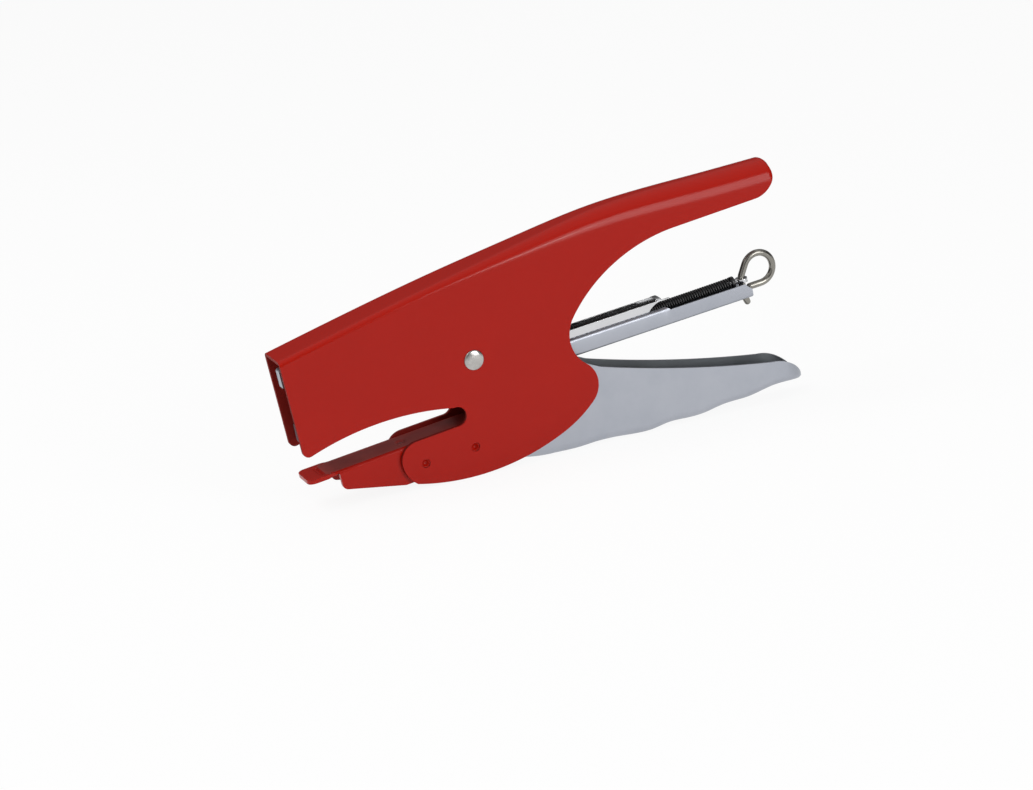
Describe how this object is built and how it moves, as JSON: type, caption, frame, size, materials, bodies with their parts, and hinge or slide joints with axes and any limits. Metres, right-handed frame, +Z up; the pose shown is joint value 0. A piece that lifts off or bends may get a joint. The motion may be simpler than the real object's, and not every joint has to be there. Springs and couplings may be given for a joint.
{
  "type": "hand plier stapler",
  "caption": "Pressed-steel hand plier stapler: red channel housing with a fixed anvil arm, a swinging magazine with a pull-ring staple pusher, and a plated squeeze lever.",
  "frame": {"origin": "under the middle of the tool, at the height of the table that its belly and lever stand on", "axes": "+X back along the tool from the nose to the grip, +Y across it, +Z up"},
  "size_m": [0.1598, 0.015, 0.0722],
  "materials": {
    "red_enamel": "gloss red enamel on pressed steel sheet",
    "zinc_plate": "satin zinc-plated steel sheet",
    "nickel_plate": "bright nickel plate",
    "hardened_steel": "ground hardened steel, oiled",
    "black_spring_steel": "black oil-tempered spring wire",
    "bright_spring_steel": "bright drawn spring wire"
  },
  "bodies": {
    "frame": {"body_housing": "red_enamel", "anvil_arm": "red_enamel", "anvil_rivets": "red_enamel", "pivot_rivet": "nickel_plate", "pivot_sleeve": "hardened_steel"},
    "magazine": {"magazine_channel": "zinc_plate", "nose_plate": "zinc_plate", "front_spring_seat": "zinc_plate", "rear_spring_seat": "zinc_plate", "clamp_spring": "bright_spring_steel", "return_spring": "bright_spring_steel"},
    "lever": {"lever_handle": "zinc_plate"},
    "driver": {"driver_blade": "hardened_steel"},
    "loader": {"guide_rod": "nickel_plate", "rod_collar": "nickel_plate", "pull_ring": "nickel_plate", "pusher_spring": "black_spring_steel"},
    "pusher": {"pusher_trough": "nickel_plate", "pusher_head": "nickel_plate"}
  },
  "joints": [
    {"name": "lever_squeeze", "type": "hinge", "parent": "frame", "child": "lever", "pos_m": [-0.02353, 0, 0.03389], "axis": [0, -1, 0], "range_deg": [0, 14.6], "stiffness_Nm_per_rad": 1, "springref_deg": -17.19, "deforming": ["clamp_spring"]},
    {"name": "magazine_clamp", "type": "hinge", "parent": "frame", "child": "magazine", "pos_m": [-0.02353, 0, 0.03389], "axis": [0, -1, 0], "range_deg": [0, 8.7], "deforming": ["return_spring"]},
    {"name": "driver_stroke", "type": "slide", "parent": "magazine", "child": "driver", "axis": [0.097, 0, -0.9953], "range_m": [0, 0.0055]},
    {"name": "loader_pull", "type": "slide", "parent": "magazine", "child": "loader", "axis": [0.9953, 0, 0.097], "range_m": [0, 0.1]},
    {"name": "pusher_travel", "type": "slide", "parent": "loader", "child": "pusher", "axis": [0.9953, 0, 0.097], "range_m": [0, 0.024], "stiffness_N_per_m": 100, "springref_m": -0.03, "deforming": ["pusher_spring"]}
  ],
  "couplings": [
    {"joint": "magazine_clamp", "follows": "lever_squeeze", "ratio": 0.594},
    {"joint": "driver_stroke", "follows": "lever_squeeze", "m_per_rad": 0.0212}
  ]
}
